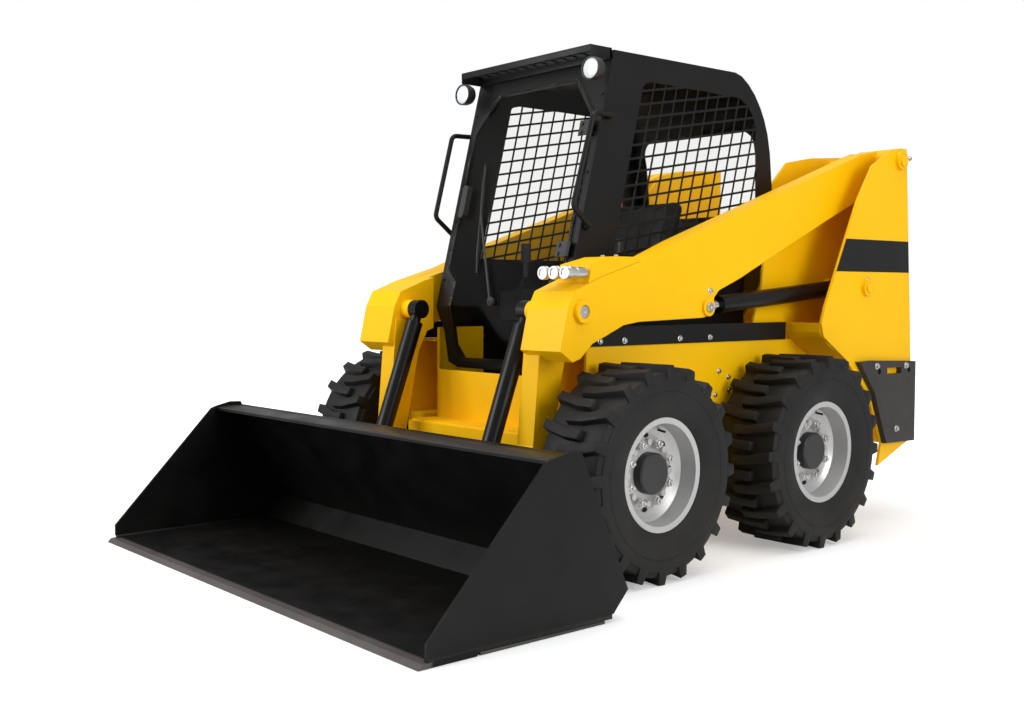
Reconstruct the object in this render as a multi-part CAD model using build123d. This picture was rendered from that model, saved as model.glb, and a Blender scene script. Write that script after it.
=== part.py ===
from build123d import *
import math
import os

os.makedirs("parts", exist_ok=True)

# A radial-lift skid steer loader with a low-profile dirt bucket.
# +X is the machine's left side, -Y its front, +Z up. All lengths are in millimetres.
# Depths are first measured from the point midway between the two axles;
# axle_mid then moves everything so that the origin lies under the middle of the machine.

# overall layout
axle_mid = 214.0
half_wheelbase = 541.7
wheel_z = 423.4
frame_half = 560.0
wheel_offset = 181.0
wheel_x = frame_half + wheel_offset

# tyre and rim
tyre_radius = 423.4
tyre_half = 150.0
carcass_radius = 394.0
shoulder_radius = 368.0
bulge_radius = 290.0
bead_radius = 211.0
tread_half = 136.0
lug_count = 20
lug_width = 40.0
lug_flare = 6.0
lug_kink = 30.0
lug_overlap = 45.0
lug_slant = 27.0
lug_foot = 360.0
lug_rake = 7.0
flange_radius = 222.0
rim_half = 128.0
disc_offset = 40.0
disc_thick = 12.0
hub_radius = 82.0
hub_reach = 48.0
hub_back = 45.0
bolt_circle = 121.0
rim_bolts = 8
rim_slots = 8

# chassis
plate = 12.0
frame_bottom = 205.0
frame_top = 905.0
frame_front = -640.0
frame_rear = 1380.0
bulkhead_y = 250.0
apron_half = 420.0
apron_front = -640.0
apron_back = -300.0
apron_top = 960.0
apron_bottom = 330.0
apron_round = 110.0
step_z = 545.0
step_front = -800.0

# towers
tower_out = frame_half + 180.0
tower_in = frame_half - 20.0
bay_wall = 385.0
arm_pivot = (1345.0, 1755.0)
lift_base = (1074.0, 1145.0)
pivot_pin_radius = 30.0
lift_pin_radius = 25.0

# rear door hinges
rear_hinge = (473.5, 1504.0)
rear_hinge_heights = (930.0, 700.0)
knuckle_radius = 6.0

# engine hood hinge
hood_hinge = (846.0, 1262.0)

# lift arms
cab_half = 405.0
arm_out = tower_out - 100.0
arm_in = tower_in + 12.0
pocket_wall = 6.0
neck_in = 470.0
head_in = cab_half + 20.0
lift_eye = (16.0, 1058.0)
tilt_eye = (-757.0, 1046.0)
leg_in = cab_half + 7.0
leg_out = leg_in + 88.0
bucket_pivot = (-905.0, 190.0)
tilt_lever = (-1000.0, 395.0)

# cylinders
lift_x = (arm_in + arm_out) / 2
lift_barrel_radius = 38.5
lift_rod_radius = 22.0
tilt_x = 346.0
tilt_barrel_radius = 37.5
tilt_rod_radius = 20.0
eye_half = 26.0
ear_gap = 5.0
ear_plate = 12.0
free = 0.5
seat = 0.3

# bucket
bucket_half = 1100.0
side_plate = 12.0
bucket_sheet = 10.0
edge_front = -1940.0

# cab
cab_skin = 6.0
cab_top = 2128.0
cab_floor = 620.0
glass = 6.0
screen_bar = 10.0
screen_pitch_y = 74.6
screen_pitch_z = 56.0
screen_lean = 14.0
screen_rise = 12.0


def prism(points, x0, x1):
    """A side-view outline (depth, height) carried from x0 to x1."""
    wire = Polyline(*[(x0, y, z) for y, z in points], close=True)
    return extrude(make_face(wire), amount=x1 - x0, dir=(1, 0, 0))


def front_prism(points, y0, y1):
    """A front-view outline (x, height) carried from y0 to y1."""
    wire = Polyline(*[(x, y0, z) for x, z in points], close=True)
    return extrude(make_face(wire), amount=y1 - y0, dir=(0, 1, 0))


def slab(x0, x1, y0, y1, z0, z1):
    middle = ((x0 + x1) / 2, (y0 + y1) / 2, (z0 + z1) / 2)
    return Pos(*middle) * Box(x1 - x0, y1 - y0, z1 - z0)


def bar_x(x0, x1, y, z, radius):
    return Pos((x0 + x1) / 2, y, z) * Rot(0, 90, 0) * Cylinder(radius, x1 - x0)


def along(start, end, x, radius, first, last):
    """A round bar in a plane of constant x, from first to last along the line start-end."""
    dy = end[0] - start[0]
    dz = end[1] - start[1]
    size = math.hypot(dy, dz)
    turn = math.degrees(math.atan2(dz, dy)) - 90
    middle = (first + last) / 2
    spot = (x, start[0] + dy / size * middle, start[1] + dz / size * middle)
    return Pos(*spot) * Rot(turn, 0, 0) * Cylinder(radius, last - first)


def both(shape):
    return Compound(shape.solids() + mirror(shape, about=Plane.YZ).solids())


def beside(path, distance):
    """The path moved to its left by distance, with mitred corners."""
    moved = []
    for i, (y, z) in enumerate(path):
        turns = []
        for a, b in ((i - 1, i), (i, i + 1)):
            if a >= 0 and b < len(path):
                dy = path[b][0] - path[a][0]
                dz = path[b][1] - path[a][1]
                size = math.hypot(dy, dz)
                turns.append((-dz / size, dy / size))
        ny = sum(t[0] for t in turns) / len(turns)
        nz = sum(t[1] for t in turns) / len(turns)
        reach = distance / (ny * ny + nz * nz)
        moved.append((y + ny * reach, z + nz * reach))
    return moved


def strip(path, thick):
    """Closed outline of a bent sheet that follows path, thick to its left."""
    return path + beside(path, thick)[::-1]


def save(name, shape):
    placed = [Pos(0, axle_mid, 0) * solid for solid in shape.solids()]
    whole = placed[0] if len(placed) == 1 else Compound(placed)
    export_step(whole, f"parts/{name}.step")


# wheels
def ring(points):
    """Revolve a (x, radius) outline about the wheel's axle line."""
    face = make_face(Polyline(*[(x, r, 0) for x, r in points], close=True))
    return revolve(face, Axis.X, 360)


def lathed(points, sides, turn):
    """A ring of flat facets: a closed (x, radius) outline carried round the axle line."""
    rings = []
    for k in range(sides):
        a = math.radians(turn + k * 360 / sides)
        rings.append([(x, r * math.cos(a), r * math.sin(a)) for x, r in points])
    faces = []
    for k in range(sides):
        here = rings[k]
        after = rings[(k + 1) % sides]
        for i in range(len(points)):
            j = (i + 1) % len(points)
            faces.append(Face(Wire.make_polygon([here[i], here[j], after[j], after[i]])))
    return Solid(Shell(faces))


tyre_side = [
    (rim_half - 16, bead_radius),
    (tyre_half, bulge_radius),
    (tyre_half, shoulder_radius),
    (tread_half, carcass_radius),
]
half_pitch = 180 / lug_count
flat = math.cos(math.radians(half_pitch))
tyre_side[0] = (rim_half - 16, (bead_radius + 0.4) / flat)
tyre_outline = tyre_side + [(-x, r) for x, r in tyre_side[::-1]]
tyre = lathed(tyre_outline, lug_count, -90 - half_pitch)


def lug_outline(reach, spread, height):
    """The bent bar of a lug, seen from above, at a height over the axle line."""
    path = [(reach, lug_slant / 2), (lug_kink, -lug_slant / 2), (-lug_overlap, -lug_slant / 2 - 2)]
    return [(x, y, height) for x, y in beside(path, spread) + beside(path, -spread)[::-1]]


lug_low = lug_outline(tyre_half + 12, lug_width / 2 + lug_flare, lug_foot)
lug_high = lug_outline(tyre_half + 12, lug_width / 2, tyre_radius)
flanks = [lug_low[::-1], lug_high]
for i in range(len(lug_low)):
    flanks.append([lug_low[i - 1], lug_low[i], lug_high[i], lug_high[i - 1]])
lug = Solid(Shell([Face(Wire.make_polygon(points)) for points in flanks]))
lug_end = tyre_half - 0.5
lug &= front_prism([(-lug_end, lug_foot - 1), (lug_end, lug_foot - 1),
                    (lug_end - lug_rake, tyre_radius + 1), (-lug_end, tyre_radius + 1)], -90, 90)
lugs = []
for k in range(lug_count):
    outer = Rot(180 + 2 * half_pitch * k, 0, 0) * lug
    inner = Rot(180 + half_pitch + 2 * half_pitch * k, 0, 0) * mirror(lug, about=Plane.YZ)
    lugs += [outer, inner]
tyre = tyre.fuse(*[item for piece in lugs for item in piece.solids()])

rim_outline = [
    (rim_half, flange_radius),
    (rim_half - 10, flange_radius),
    (rim_half - 14, bead_radius - 0.3),
    (60, bead_radius - 10),
    (40, 180),
    (-60, 180),
    (-rim_half + 14, bead_radius - 0.3),
    (-rim_half + 10, flange_radius),
    (-rim_half, flange_radius),
    (-rim_half + 2, bead_radius - 12),
    (-60, 172),
    (disc_offset - disc_thick, 172),
    (disc_offset - disc_thick - 6, 150),
    (disc_offset - disc_thick + 10, hub_radius + 0.3),
    (disc_offset + 10, hub_radius + 0.3),
    (disc_offset - 2, 150),
    (disc_offset + 6, 172),
    (60, bead_radius - 20),
    (rim_half - 2, bead_radius - 12),
]
rim = ring(rim_outline)
bolt = Pos(disc_offset + 9, bolt_circle, 0) * Rot(0, 90, 0) * Cylinder(13, 26)
for k in range(rim_bolts):
    rim += Rot(k * 360 / rim_bolts, 0, 0) * bolt

hub = bar_x(-rim_half - hub_back, disc_offset + hub_reach, 0, 0, hub_radius)
hub = chamfer(hub.faces().sort_by(Axis.X)[-1].edges(), 6)


def wheel_at(shape, side, end):
    turned = shape if side > 0 else mirror(shape, about=Plane.YZ)
    return Pos(side * wheel_x, end * half_wheelbase, wheel_z) * turned


for side, side_name in ((1, "left"), (-1, "right")):
    for end, end_name in ((-1, "front"), (1, "rear")):
        label = f"{end_name}_{side_name}"
        save(f"tyre_{label}", wheel_at(tyre, side, end))
        save(f"rim_{label}", wheel_at(Compound(rim.solids() + hub.solids()), side, end))

# chassis
axle_reach = wheel_x - rim_half - hub_back - 0.5
side_outline = [
    (frame_front, frame_bottom + 60),
    (frame_front + 60, frame_bottom),
    (frame_rear - 160, frame_bottom),
    (frame_rear, frame_bottom + 160),
    (frame_rear, frame_top),
    (frame_front, frame_top),
]
tub = prism(side_outline, -frame_half, frame_half)
tub -= prism(
    [
        (frame_front - 10, frame_bottom + plate),
        (frame_rear - 150, frame_bottom + plate),
        (frame_rear + 10, frame_bottom + 170),
        (frame_rear + 10, frame_top + 10),
        (frame_front - 10, frame_top + 10),
    ],
    -frame_half + plate,
    frame_half - plate,
)
case = slab(apron_half + 8, frame_half - plate, frame_front + 2, 900, frame_bottom + plate, 560)
tub += case + mirror(case, about=Plane.YZ)
tub += slab(-frame_half + plate, frame_half - plate, bulkhead_y, bulkhead_y + 10,
            frame_bottom + plate, frame_top)
deck = slab(apron_half + seat, frame_half - plate, -600, frame_rear - 5, frame_top - plate, frame_top)
tub += deck + mirror(deck, about=Plane.YZ)
for end in (-1, 1):
    housing = bar_x(frame_half, axle_reach, end * half_wheelbase, wheel_z, hub_radius + 15)
    tub += housing + mirror(housing, about=Plane.YZ)
save("main_frame", tub)

apron = slab(-apron_half, apron_half, apron_front, apron_back, apron_bottom, apron_top)
apron = fillet(apron.edges().filter_by(Axis.Z).sort_by(Axis.Y)[:2], apron_round)
inner = slab(-apron_half + plate, apron_half - plate, apron_front + plate, apron_back + 50,
             apron_bottom - 5, apron_top + 5)
inner = fillet(inner.edges().filter_by(Axis.Z).sort_by(Axis.Y)[:2], apron_round - plate)
apron -= inner
apron -= slab(-385, 385, apron_front - 10, apron_back - 90, 770, apron_top + 10)
tread = slab(-apron_half + 60, apron_half - 60, step_front, apron_front + 1, step_z - 8, step_z)
tread += slab(-apron_half + 60, apron_half - 60, step_front, step_front + 8, step_z - 90, step_z)
for k in range(9):
    y = step_front + 14 + k * 15
    tread += slab(-apron_half + 70, apron_half - 70, y, y + 5, step_z, step_z + 8)
save("front_apron", apron + tread)

# black step along each side of the chassis top
step_end = 700.0
step_outline = [
    (-640, frame_top + seat),
    (-640, 912),
    (-520, 972),
    (-460, 985),
    (step_end, 985),
    (step_end, frame_top + seat),
]
side_step = prism(step_outline, frame_half + 0.3, frame_half + 6.3)
side_step += slab(frame_half - 58, frame_half + 0.3, -380, 480, frame_top + seat, 912)
save("side_steps", both(side_step))

# towers
tower_front = [(738, 1058), (817, 1217), (892, 1370), (980, 1545), (1102, 1715)]
tower_top = [(1166, 1748), (1266, 1797), (1342, 1813), (1402, 1813)]
tower_rear = [(1501, 785), (1491, 385), (1224, 287)]
tower_low = [(1251, 396), (1120, 636), (921, 810), (733, 918), (711, 981)]
tower_plate = prism(tower_front + tower_top + tower_rear + tower_low, tower_out - plate, tower_out)
tower_inner = prism(
    [(487, frame_top + seat), (487, 994), (545, 1150), (557, 1259), (980, 1545), (1140, 1735),
     (1200, 1780), (1265, 1799), (1402, 1799), (1480, frame_top + seat)],
    tower_in - plate,
    tower_in,
)
bay_side = prism(
    [(640, frame_top + seat), (640, 1000), (835, 1250), (835, 1640), (957, 1751), (1160, 1786),
     (1474, 1811), (1483, 1060), (1440, 1010), (1440, frame_top + seat)],
    bay_wall - plate,
    bay_wall,
)
back_strip = prism(
    [(1409, 1740), (1501, 785), (1497, 640), (1487, 640), (1491, 785), (1399, 1740)],
    tower_in - plate,
    tower_out - plate,
)
bay_back = prism([(1462, 1811), (1474, 1811), (1483, 1060), (1471, 1060)], bay_wall, tower_in - plate)
bay_back += prism([(1399, 1799), (1474, 1805), (1474, 1795), (1399, 1789)], bay_wall, tower_in)
arch_path = [(711, 981), (720, 940), (733, 918), (790, 880), (855, 846), (921, 810), (985, 763),
             (1055, 700), (1120, 636), (1165, 570), (1210, 490), (1251, 396)]
arch = prism(strip(arch_path, plate - 4), frame_half + seat, tower_out - plate)
tower = tower_plate + tower_inner + bay_side + bay_back + back_strip + arch
tower += prism([(frame_rear - 360, frame_top + seat), (frame_rear - 360, 918), (1440, 918), (1440, frame_top + seat)],
               bay_wall, tower_out - plate)
tower += slab(frame_half + seat, tower_out - plate, frame_rear - 220, frame_rear - 208, 480, frame_top + 10)
tower += bar_x(arm_out + free, tower_out - plate, *arm_pivot, 58)
tower += bar_x(tower_in, arm_in - free, *arm_pivot, 58)
tower += bar_x(tower_out, tower_out + 16, *arm_pivot, 45)
tower += bar_x(lift_x + eye_half + free, tower_out - plate, *lift_base, 42)
tower += bar_x(tower_in, lift_x - eye_half - free, *lift_base, 42)
tower += bar_x(tower_out, tower_out + 16, *lift_base, 40)
for z in rear_hinge_heights:
    leaf_in = rear_hinge[0] + knuckle_radius + 0.7
    tower += slab(leaf_in, tower_in, rear_hinge[1] - 29, rear_hinge[1] + 4, z - 35, z + 35)
pin_in = bay_wall - plate - 6
tower += bar_x(pin_in, tower_out + 24, *arm_pivot, pivot_pin_radius)
tower += bar_x(tower_in - plate - 6, tower_out + 24, *lift_base, lift_pin_radius)
save("towers", both(tower))

weight = prism([(996, 796), (1104, 800), (1501, 785), (1512, 391), (1251, 396), (1130, 650)],
               tower_out + seat, tower_out + 26)
weight -= bar_x(tower_out - 5, tower_out + 40, 1170, 745, 14)
weight -= bar_x(tower_out - 5, tower_out + 40, 1440, 745, 14)
weight -= slab(tower_out - 5, tower_out + 40, 1240, 1370, 730, 760)
save("side_weights", both(weight))

# engine bay
hood_points = [(832, 1008.5), (832, 1270), (900, 1290), (1380, 1225), (1462, 1150), (1462, 1008.5)]
hood_half = bay_wall - plate - 8
hood = prism(hood_points, -hood_half, hood_half)
hood -= prism([(846, 1000), (846, 1260), (904, 1276), (1374, 1212), (1448, 1142), (1448, 1000)],
              -hood_half + plate, hood_half - plate)
hood += bar_x(-hood_half + 40, hood_half - 40, *hood_hinge, 8)
save("engine_hood", hood)
sill_half = bay_wall - plate - seat
sill = slab(-sill_half, sill_half, 616, 1462, frame_top + seat, 1008)
sill -= slab(-sill_half + 14, sill_half - 14, 630, 1450, 900, 1020)
door = slab(-470, 470, 1470, 1500, 420, 1000)
for z in rear_hinge_heights:
    door += Pos(*rear_hinge, z) * Cylinder(knuckle_radius, 80) + slab(440, rear_hinge[0], 1500, 1504, z - 40, z + 40)
door -= slab(-455, 455, 1465, 1488, 435, 985)
for k in range(9):
    z = 560 + k * 40
    door -= slab(-340, 340, 1480, 1510, z, z + 20)
save("rear_door", door)
bumper = slab(-470, 470, frame_rear + seat, 1462, 300, 412)
save("rear_frame", Compound(sill.solids() + bumper.solids()))
engine = slab(-300, 300, 560, 1180, frame_bottom + plate + seat, 860)
save("engine_block", engine)

# cab
cab_front = [(-325, 2128), (-369, 1959), (-600, 1060), (-555, 800), (-553, 777)]
cab_back = [(500, 2128), (551, 2116), (606, 2083), (655, 2040), (700, 1985), (733, 1930), (760, 1868),
            (783, 1780), (806, 1607), (815, 1250), (600, 1225), (600, 990)]
cab_low = [(-440, 990), (-470, 1100)]
cab_side_out = ([(-325, 2128)] + cab_back[:-1]
                + [(600, frame_top + seat), (-290, frame_top + seat), (-290, 990), (-575, 990)]
                + [(-600, 1060), (-369, 1959)])
side_shell = prism(cab_side_out, cab_half - cab_skin, cab_half)
screen_out = [(-150, 1980), (-128, 2010), (-79, 2022), (273, 2021), (539, 2017), (600, 1985), (645, 1938),
              (667, 1890), (676, 1732), (690, 1281), (-330, 1281), (-290, 1436), (-188, 1828)]
side_shell -= prism(screen_out, cab_half - 20, cab_half + 20)
side_shell += slab(cab_half - cab_skin, 470, -290, 600, frame_top + seat, frame_top + 6)
save("cab_sides", both(side_shell))

inside = cab_half - cab_skin
back_path = [(600, frame_top + seat)] + cab_back[:-1][::-1] + [(-325, 2128)]
roof = prism(strip(back_path, 8), -inside + seat, inside - seat)
pane_half = 330.0
pane_low = 1500.0
pane_high = 1900.0
opening = front_prism([(-pane_half, pane_low), (pane_half, pane_low), (pane_half, pane_high),
                       (-pane_half, pane_high)], 600, 900)
roof -= fillet(opening.edges().filter_by(Axis.Y), 70)
save("cab_roof", roof)
pane_path = beside(back_path, 8 + seat)[2:9]
pane_edge = front_prism([(-pane_half - 20, pane_low - 20), (pane_half + 20, pane_low - 20),
                         (pane_half + 20, pane_high + 20), (-pane_half - 20, pane_high + 20)], 600, 900)
rear_pane = prism(strip(pane_path, 5), -inside + 20, inside - 20)
rear_pane &= fillet(pane_edge.edges().filter_by(Axis.Y), 80)
save("rear_window", rear_pane)

face_half = inside - seat
frame_face = [
    (face_half, 2097.7), (face_half, 1060), (face_half - 28.7, 936), (face_half - 28.7, 802), (310, 777),
    (-310, 777), (28.7 - face_half, 802), (28.7 - face_half, 936), (-face_half, 1060), (-face_half, 2097.7),
]
door_hole = [
    (229, 2017), (355, 1854), (355, 1228), (290, 1166), (296, 885), (255, 825),
    (-255, 825), (-296, 885), (-290, 1166), (-355, 1228), (-355, 1854), (-229, 2017),
]
seal_out = [(x * 1.03, z + (12 if z > 1400 else -10)) for x, z in door_hole]
front_path = [(-325, 2128), (-369, 1959), (-600, 1060), (-555, 800), (-550, 770)]
front_skin = prism(strip(front_path, 12), -cab_half, cab_half)
front_frame = front_skin & front_prism(frame_face, -700, -300)
front_frame -= front_prism(door_hole, -700, -300)
seal_path = [(y - 7.7, z) for y, z in front_path]
seal_ring = prism(strip(seal_path, 7.7), -cab_half, cab_half)
seal_ring &= front_prism(seal_out, -740, -300)
seal_ring -= front_prism(door_hole, -740, -300)
front_frame += seal_ring
save("cab_front", front_frame)

door_hinge_x = 378.0
door_outline = [
    (240, 2030), (372, 1866), (372, 1220), (306, 1160), (312, 880), (262, 808),
    (-262, 808), (-312, 880), (-306, 1160), (-372, 1220), (-372, 1866), (-240, 2030),
]
door_path = [(y - 14, z) for y, z in front_path]
door_skin = prism(strip(door_path, glass), -cab_half, cab_half)
door_pane = door_skin & front_prism(door_outline, -740, -300)
save("cab_door", door_pane)
slope = math.degrees(math.atan2(600 - 369, 1959 - 1060))


def on_door(shape, x, z, out):
    """Place a shape made about the origin onto the upper door face, out in front of it."""
    y = -369 - (1959 - z) * (600 - 369) / (1959 - 1060) - 14 - out
    return Pos(x, y, z) * Rot(-slope, 0, 0) * shape


fittings = None
for z in (1807, 1300):
    leaf = on_door(Box(62, 5, 66), door_hinge_x - 38, z, 3.0)
    knuckle = on_door(Cylinder(8, 66), door_hinge_x, z, 9.0)
    hinge_part = leaf + knuckle
    for up in (-18, 18):
        hinge_part += on_door(Rot(90, 0, 0) * Cylinder(9, 8), door_hinge_x - 55, z + up, 8.0)
    fittings = hinge_part if fittings is None else fittings + hinge_part
latch = Box(34, 30, 150)
latch = on_door(fillet(latch.edges().filter_by(Axis.Y), 14), -312, 1536, 15.9)
fittings = Compound(fittings.solids() + latch.solids())
save("door_fittings", fittings)

mesh_bars = None
screen_thick = 2.5
screen_cut = prism(screen_out, cab_half - 20, cab_half + 20)
for k in range(-2, 20):
    y = -330 + screen_pitch_y * k
    rise = 2060 - 1260
    shift = screen_lean / screen_pitch_z * rise
    post = prism([(y, 1260), (y + screen_bar, 1260), (y + screen_bar + shift, 2060), (y + shift, 2060)],
                 cab_half - 2 * screen_thick, cab_half - screen_thick) & screen_cut
    if post.solids():
        mesh_bars = post if mesh_bars is None else mesh_bars + post
for k in range(-3, 16):
    z = 1262 + screen_pitch_z * k
    climb = screen_rise / screen_pitch_y * 1100
    rail = prism([(-380, z), (720, z + climb), (720, z + climb + screen_bar), (-380, z + screen_bar)],
                 cab_half - screen_thick, cab_half) & screen_cut
    if rail.solids():
        mesh_bars += rail
save("side_screens", both(mesh_bars))

visor = slab(-face_half, face_half, -460, -330, 2098, 2137)
visor -= slab(-330, 330, -440, -352, 2090, 2140)
holder = slab(face_half - 46.5, face_half, -460, -400, 2088.3, 2099)
visor += holder + mirror(holder, about=Plane.YZ)
for k in range(7):
    x = -330 + 94 * k
    visor += slab(x, x + 8, -441, -351, 2100, 2134)
save("visor", visor)
lamps = None
for x in (-394, 394):
    lamp = Pos(x, -430, 2040) * Rot(90, 0, 0) * Cylinder(48, 60)
    lamps = lamp if lamps is None else lamps + lamp
for x in (-frame_half - 50, frame_half + 50):
    lamps += Pos(x, 1503.9, 700) * Box(90, 8, 60)
save("lamps", lamps)

floor = slab(-apron_half, apron_half, -530, 200, cab_floor, cab_floor + 8)
floor -= slab(-apron_half - 1, -apron_half + plate + seat, -561, apron_back + 1, 600, 700)
floor -= slab(apron_half - plate - seat, apron_half + 1, -561, apron_back + 1, 600, 700)
for side in (-1, 1):
    x = side * (apron_half - 4)
    floor += slab(x - 4, x + 4, apron_back + 1, 200, cab_floor, frame_top)
floor += slab(-apron_half, apron_half, 195, 203, cab_floor, frame_top)
save("cab_floor", floor)
seat_box = slab(-240, 240, -60, 190, cab_floor + 8 + seat, 1000)
save("seat_base", seat_box)
cushion = slab(-235, 235, -120, 330, 1000 + seat, 1110)
cushion = fillet(cushion.edges().filter_by(Axis.Z), 50)
back = prism([(250, 1110.3), (330, 1110.3), (430, 1560), (360, 1580)], -230, 230)
save("seat", Compound(cushion.solids() + back.solids()))
console = slab(250, inside - seat, -200, 320, 990, 1130)
stick = Pos(297, -130, 1200) * Cylinder(12, 160)
grip = Pos(297, -130, 1310) * Cylinder(24, 90)
save("controls", both(console + stick + grip))
rail_path = FilletPolyline(
    (cab_half + 18, -359, 1854), (cab_half + 32, -479, 1854), (cab_half + 25, -588, 1470),
    (cab_half + 21, -485, 1391), radius=30
)
handle = sweep(Plane(rail_path @ 0, z_dir=rail_path % 0) * Circle(11), path=rail_path)
for y, z in ((-359, 1854), (-485, 1391)):
    handle += bar_x(cab_half + seat, cab_half + 20, y, z, 15)
save("grab_handles", both(handle))

# lift arms
arm_low = [
    (-694, 922), (-514, 991), (-422, 1003), (-9, 1015), (52, 1047),
    (60, 1101), (93, 1131), (237, 1182), (417, 1258), (901, 1459), (1158, 1560),
]
arm_top = [
    (1290, 1672), (1345, 1662), (1385, 1700), (1388, 1765), (1360, 1815), (1178, 1780), (-176, 1335),
    (-424, 1243), (-657, 1177), (-716, 1155), (-795, 1126), (-831, 1059),
]
arm_outline = arm_low + arm_top + [(-870, 895), (-804, 853), (-761, 865)]
arm = prism(arm_outline, arm_in, arm_out)
head = prism(
    [(-600, 957), (-600, 1193), (-657, 1177), (-716, 1155), (-795, 1126), (-831, 1059),
     (-870, 895), (-804, 853), (-761, 865), (-694, 922)],
    head_in, arm_out)
arm += head
arm += prism([(-605, 970), (-514, 991), (-430, 1003), (-430, 1241), (-605, 1190)], neck_in, arm_in + 1)
pocket = [(-80, 990), (-80, 1120), (60, 1135), (120, 1150), (120, 990)]
arm -= prism(pocket, arm_in + pocket_wall, arm_out - pocket_wall)
arm += bar_x(arm_in + 1, lift_x - eye_half - free, *lift_eye, 38)
arm += bar_x(lift_x + eye_half + free, arm_out - 1, *lift_eye, 38)
arm -= bar_x(arm_in - 5, arm_out + 5, *arm_pivot, pivot_pin_radius + 0.3)
leg = prism([(-831, 1000), (-870, 520), (-1000, 260), (-985, 120), (-905, 110), (-800, 180),
             (-770, 500), (-700, 850), (-640, 960), (-640, 1000)], leg_in, leg_out)
arm += leg
arm += bar_x(tilt_x + eye_half + free, head_in + 2, *tilt_eye, 42)
arm += bar_x(arm_out, arm_out + 18, *tilt_eye, 45)
for y, z in (tilt_eye,):
    arm -= bar_x(arm_out + 4, arm_out + 25, y, z, 26)
arm += bar_x(arm_out, arm_out + 10, *lift_eye, 38)
arm -= bar_x(leg_in - 5, leg_out + 5, *bucket_pivot, 25.3)
save("lift_arms", both(arm))
cross = bar_x(-leg_in, leg_in, -810, 330, 55)
save("arm_cross_tubes", cross)

cover = prism([(-716, 1155.5), (-700, 1230), (-560, 1262), (-440, 1262), (-424, 1243.5), (-657, 1177.5)],
              neck_in, arm_out - 4)
save("coupler_cover", cover)
couplers = None
for k in range(3):
    x = 500 + 48 * k
    body = Pos(x, -755.5, 1196) * Rot(90, 0, 0) * Cylinder(17, 88)
    nose = Pos(x, -808, 1196) * Rot(90, 0, 0) * Cylinder(21, 22)
    joined = body + nose
    couplers = joined if couplers is None else couplers + joined
save("couplers", couplers)

# lift cylinders
lift_closed = math.dist(lift_base, lift_eye)
barrel = along(lift_base, lift_eye, lift_x, lift_barrel_radius, 60, lift_closed - 130)
barrel += bar_x(lift_x - eye_half, lift_x + eye_half, *lift_base, 46)
barrel += along(lift_base, lift_eye, lift_x, eye_half - 2, 20, 70)
barrel -= bar_x(lift_x - 40, lift_x + 40, *lift_base, lift_pin_radius + 0.3)
barrel -= along(lift_base, lift_eye, lift_x, lift_rod_radius + 0.3, 120, lift_closed)
save("lift_barrels", both(barrel))
rod = along(lift_base, lift_eye, lift_x, lift_rod_radius, 160, lift_closed - 30)
rod += bar_x(lift_x - eye_half, lift_x + eye_half, *lift_eye, 42)
rod -= bar_x(lift_x - 40, lift_x + 40, *lift_eye, lift_pin_radius)
save("lift_rods", both(rod))

# tilt cylinders
tilt_closed = math.dist(tilt_eye, tilt_lever)
tube = along(tilt_eye, tilt_lever, tilt_x, tilt_barrel_radius, 62, tilt_closed - 135)
tube += bar_x(tilt_x - eye_half, tilt_x + eye_half, *tilt_eye, 42)
tube += along(tilt_eye, tilt_lever, tilt_x, eye_half - 2, 20, 70)
tube -= along(tilt_eye, tilt_lever, tilt_x, tilt_rod_radius + 0.3, 105, tilt_closed)
save("tilt_barrels", both(tube))
tilt_rod = along(tilt_eye, tilt_lever, tilt_x, tilt_rod_radius, 215, tilt_closed - 25)
tilt_rod += bar_x(tilt_x - eye_half, tilt_x + eye_half, *tilt_lever, 36)
tilt_rod -= bar_x(tilt_x - 40, tilt_x + 40, *tilt_lever, 20)
save("tilt_rods", both(tilt_rod))

# bucket
side_points = [
    (-1905, 28), (-1905, 75), (-1410, 575), (-1385, 584), (-1305, 602),
    (-1250, 600), (-1008, 104), (-1080, 30),
]
cheek = prism(side_points, bucket_half - side_plate, bucket_half)
save("bucket_cheeks", both(cheek))
edge = prism([(edge_front, 2), (edge_front + 18, 18), (-1660, 26), (-1660, 24.3), (-1702, 24.3),
              (-1702, 2)], -bucket_half, bucket_half)
save("cutting_edge", edge)

tilt_dir = math.atan2(600 - 104, -1250 + 1008)


def back_point(up, out):
    """A point on the bucket's back: up along the sheet, out square to it, towards the cab."""
    y = -1008 + math.cos(tilt_dir) * up + math.sin(tilt_dir) * out
    z = 104 + math.sin(tilt_dir) * up - math.cos(tilt_dir) * out
    return (y, z)


shell_path = [(-1700, 14), (-1100, 14), back_point(20, 0), back_point(536, 0), (-1382, 574)]
shell = prism(strip(shell_path[::-1], -bucket_sheet), -bucket_half + side_plate, bucket_half - side_plate)
save("bucket_shell", shell)

carrier = prism([back_point(30, seat), back_point(500, seat), back_point(500, 12), back_point(30, 12)],
                -520, 520)
ear_in = tilt_barrel_radius + ear_gap
for x in (tilt_x - ear_in - ear_plate, tilt_x + ear_in):
    ear = prism([back_point(20, 12), back_point(450, 12), back_point(330, 130), back_point(300, 165),
                 back_point(258, 178), back_point(215, 168), back_point(120, 130), back_point(20, 100)],
                x, x + ear_plate)
    carrier += ear + mirror(ear, about=Plane.YZ)
for x in (tilt_x - ear_in - 1, tilt_x + eye_half + free):
    boss = bar_x(x, x + ear_in + 1 - eye_half - free, *tilt_lever, 30)
    carrier += boss + mirror(boss, about=Plane.YZ)
for x in (leg_in - 14, leg_out + 2):
    ear = prism([back_point(0, 12), back_point(260, 12), back_point(180, 100), (-860, 240),
                 (-850, 150), back_point(0, 60)], x, x + 12)
    carrier += ear + mirror(ear, about=Plane.YZ)
pivot_pin = bar_x(leg_in - 14, leg_out + 14, *bucket_pivot, 25)
carrier += pivot_pin + mirror(pivot_pin, about=Plane.YZ)
save("bucket_carrier", carrier)
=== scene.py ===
import math

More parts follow.
